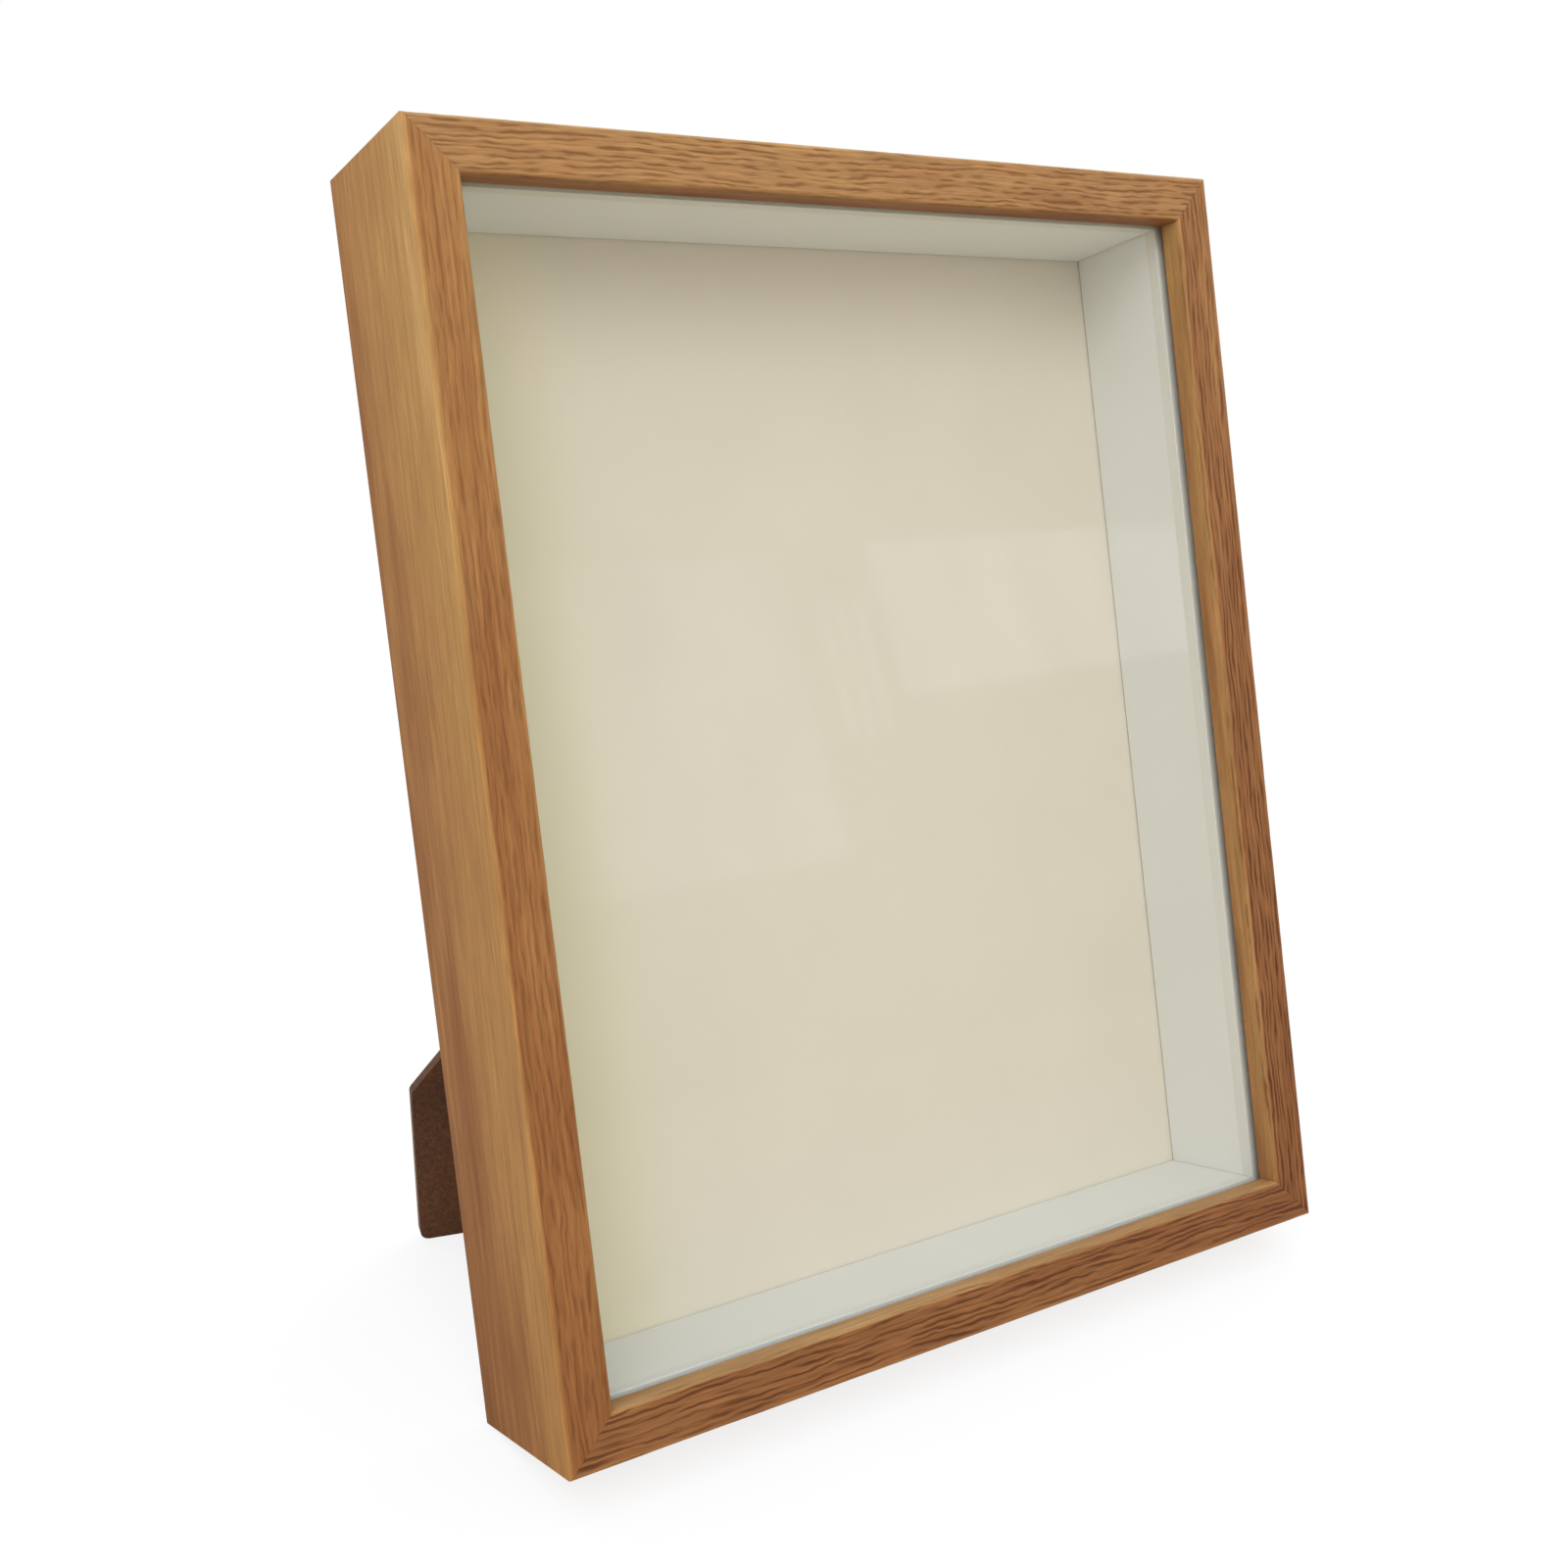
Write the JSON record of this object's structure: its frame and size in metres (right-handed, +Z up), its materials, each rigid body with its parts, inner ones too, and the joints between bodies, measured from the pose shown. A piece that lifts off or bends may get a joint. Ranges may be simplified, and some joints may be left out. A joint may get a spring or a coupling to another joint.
{
  "type": "shadow box",
  "caption": "Deep mitred display frame with a glazed front, spacer walls and a display board, held by turn buttons behind and standing on a folding two-way easel leg.",
  "frame": {"origin": "centre of the footprint at table height, as the box stands on its lower back edge and its leg", "axes": "+Z up, the glass faces -Y and leans back, +X to the right seen from the front"},
  "size_m": [0.22, 0.1282, 0.2743],
  "materials": {
    "oak_foil": "embossed oak-grain foil, satin",
    "spacer_white": "white paper-faced strip, matte",
    "display_cream": "cream paper-faced board, matte",
    "clear_glass": "clear, polished",
    "brown_hardboard": "dark brown lacquered fibreboard",
    "zinc_steel": "zinc plated",
    "brass_plated_steel": "brass plated"
  },
  "bodies": {
    "frame": {"rail_bottom": "oak_foil", "rail_top": "oak_foil", "stile_left": "oak_foil", "stile_right": "oak_foil", "v_nail_bottom_left": "zinc_steel", "v_nail_bottom_right": "zinc_steel", "v_nail_top_right": "zinc_steel", "v_nail_top_left": "zinc_steel", "spacer_left": "spacer_white", "spacer_right": "spacer_white", "spacer_bottom": "spacer_white", "spacer_top": "spacer_white", "glass_pane": "clear_glass", "display_board": "display_cream", "back_board": "brown_hardboard", "hinge_board_leaf": "zinc_steel", "hinge_pin": "zinc_steel", "rivet_board_a": "zinc_steel", "rivet_board_b": "zinc_steel", "button_screw_1": "zinc_steel", "button_screw_2": "zinc_steel", "button_screw_3": "zinc_steel", "button_screw_4": "zinc_steel", "button_screw_5": "zinc_steel", "button_screw_6": "zinc_steel", "hanger_portrait": "brass_plated_steel", "hanger_landscape": "brass_plated_steel", "hanger_nail_portrait_a": "brass_plated_steel", "hanger_nail_portrait_b": "brass_plated_steel", "hanger_nail_landscape_a": "brass_plated_steel", "hanger_nail_landscape_b": "brass_plated_steel"},
    "leg": {"easel_leg": "brown_hardboard", "hinge_leg_leaf": "zinc_steel", "rivet_leg_a": "zinc_steel", "rivet_leg_b": "zinc_steel"},
    "turn_button_1": {"turn_button_1": "zinc_steel"},
    "turn_button_2": {"turn_button_2": "zinc_steel"},
    "turn_button_3": {"turn_button_3": "zinc_steel"},
    "turn_button_4": {"turn_button_4": "zinc_steel"},
    "turn_button_5": {"turn_button_5": "zinc_steel"},
    "turn_button_6": {"turn_button_6": "zinc_steel"}
  },
  "joints": [
    {"name": "leg_fold", "type": "hinge", "parent": "frame", "child": "leg", "pos_m": [-0.0052, 0.01446, 0.14531], "axis": [-0.9063, 0.0987, 0.4109], "range_deg": [0, 28]},
    {"name": "button_turn_1", "type": "hinge", "parent": "frame", "child": "turn_button_1", "pos_m": [-0.1061, -0.00533, 0.07293], "axis": [0, 0.9724, -0.2334], "continuous": true},
    {"name": "button_turn_2", "type": "hinge", "parent": "frame", "child": "turn_button_2", "pos_m": [-0.1061, 0.02315, 0.19156], "axis": [0, 0.9724, -0.2334], "continuous": true},
    {"name": "button_turn_3", "type": "hinge", "parent": "frame", "child": "turn_button_3", "pos_m": [0.1061, -0.00533, 0.07293], "axis": [0, 0.9724, -0.2334], "continuous": true},
    {"name": "button_turn_4", "type": "hinge", "parent": "frame", "child": "turn_button_4", "pos_m": [0.1061, 0.02315, 0.19156], "axis": [0, 0.9724, -0.2334], "continuous": true},
    {"name": "button_turn_5", "type": "hinge", "parent": "frame", "child": "turn_button_5", "pos_m": [0, -0.02193, 0.00379], "axis": [0, 0.9724, -0.2334], "continuous": true},
    {"name": "button_turn_6", "type": "hinge", "parent": "frame", "child": "turn_button_6", "pos_m": [0, 0.03975, 0.26069], "axis": [0, 0.9724, -0.2334], "continuous": true}
  ]
}
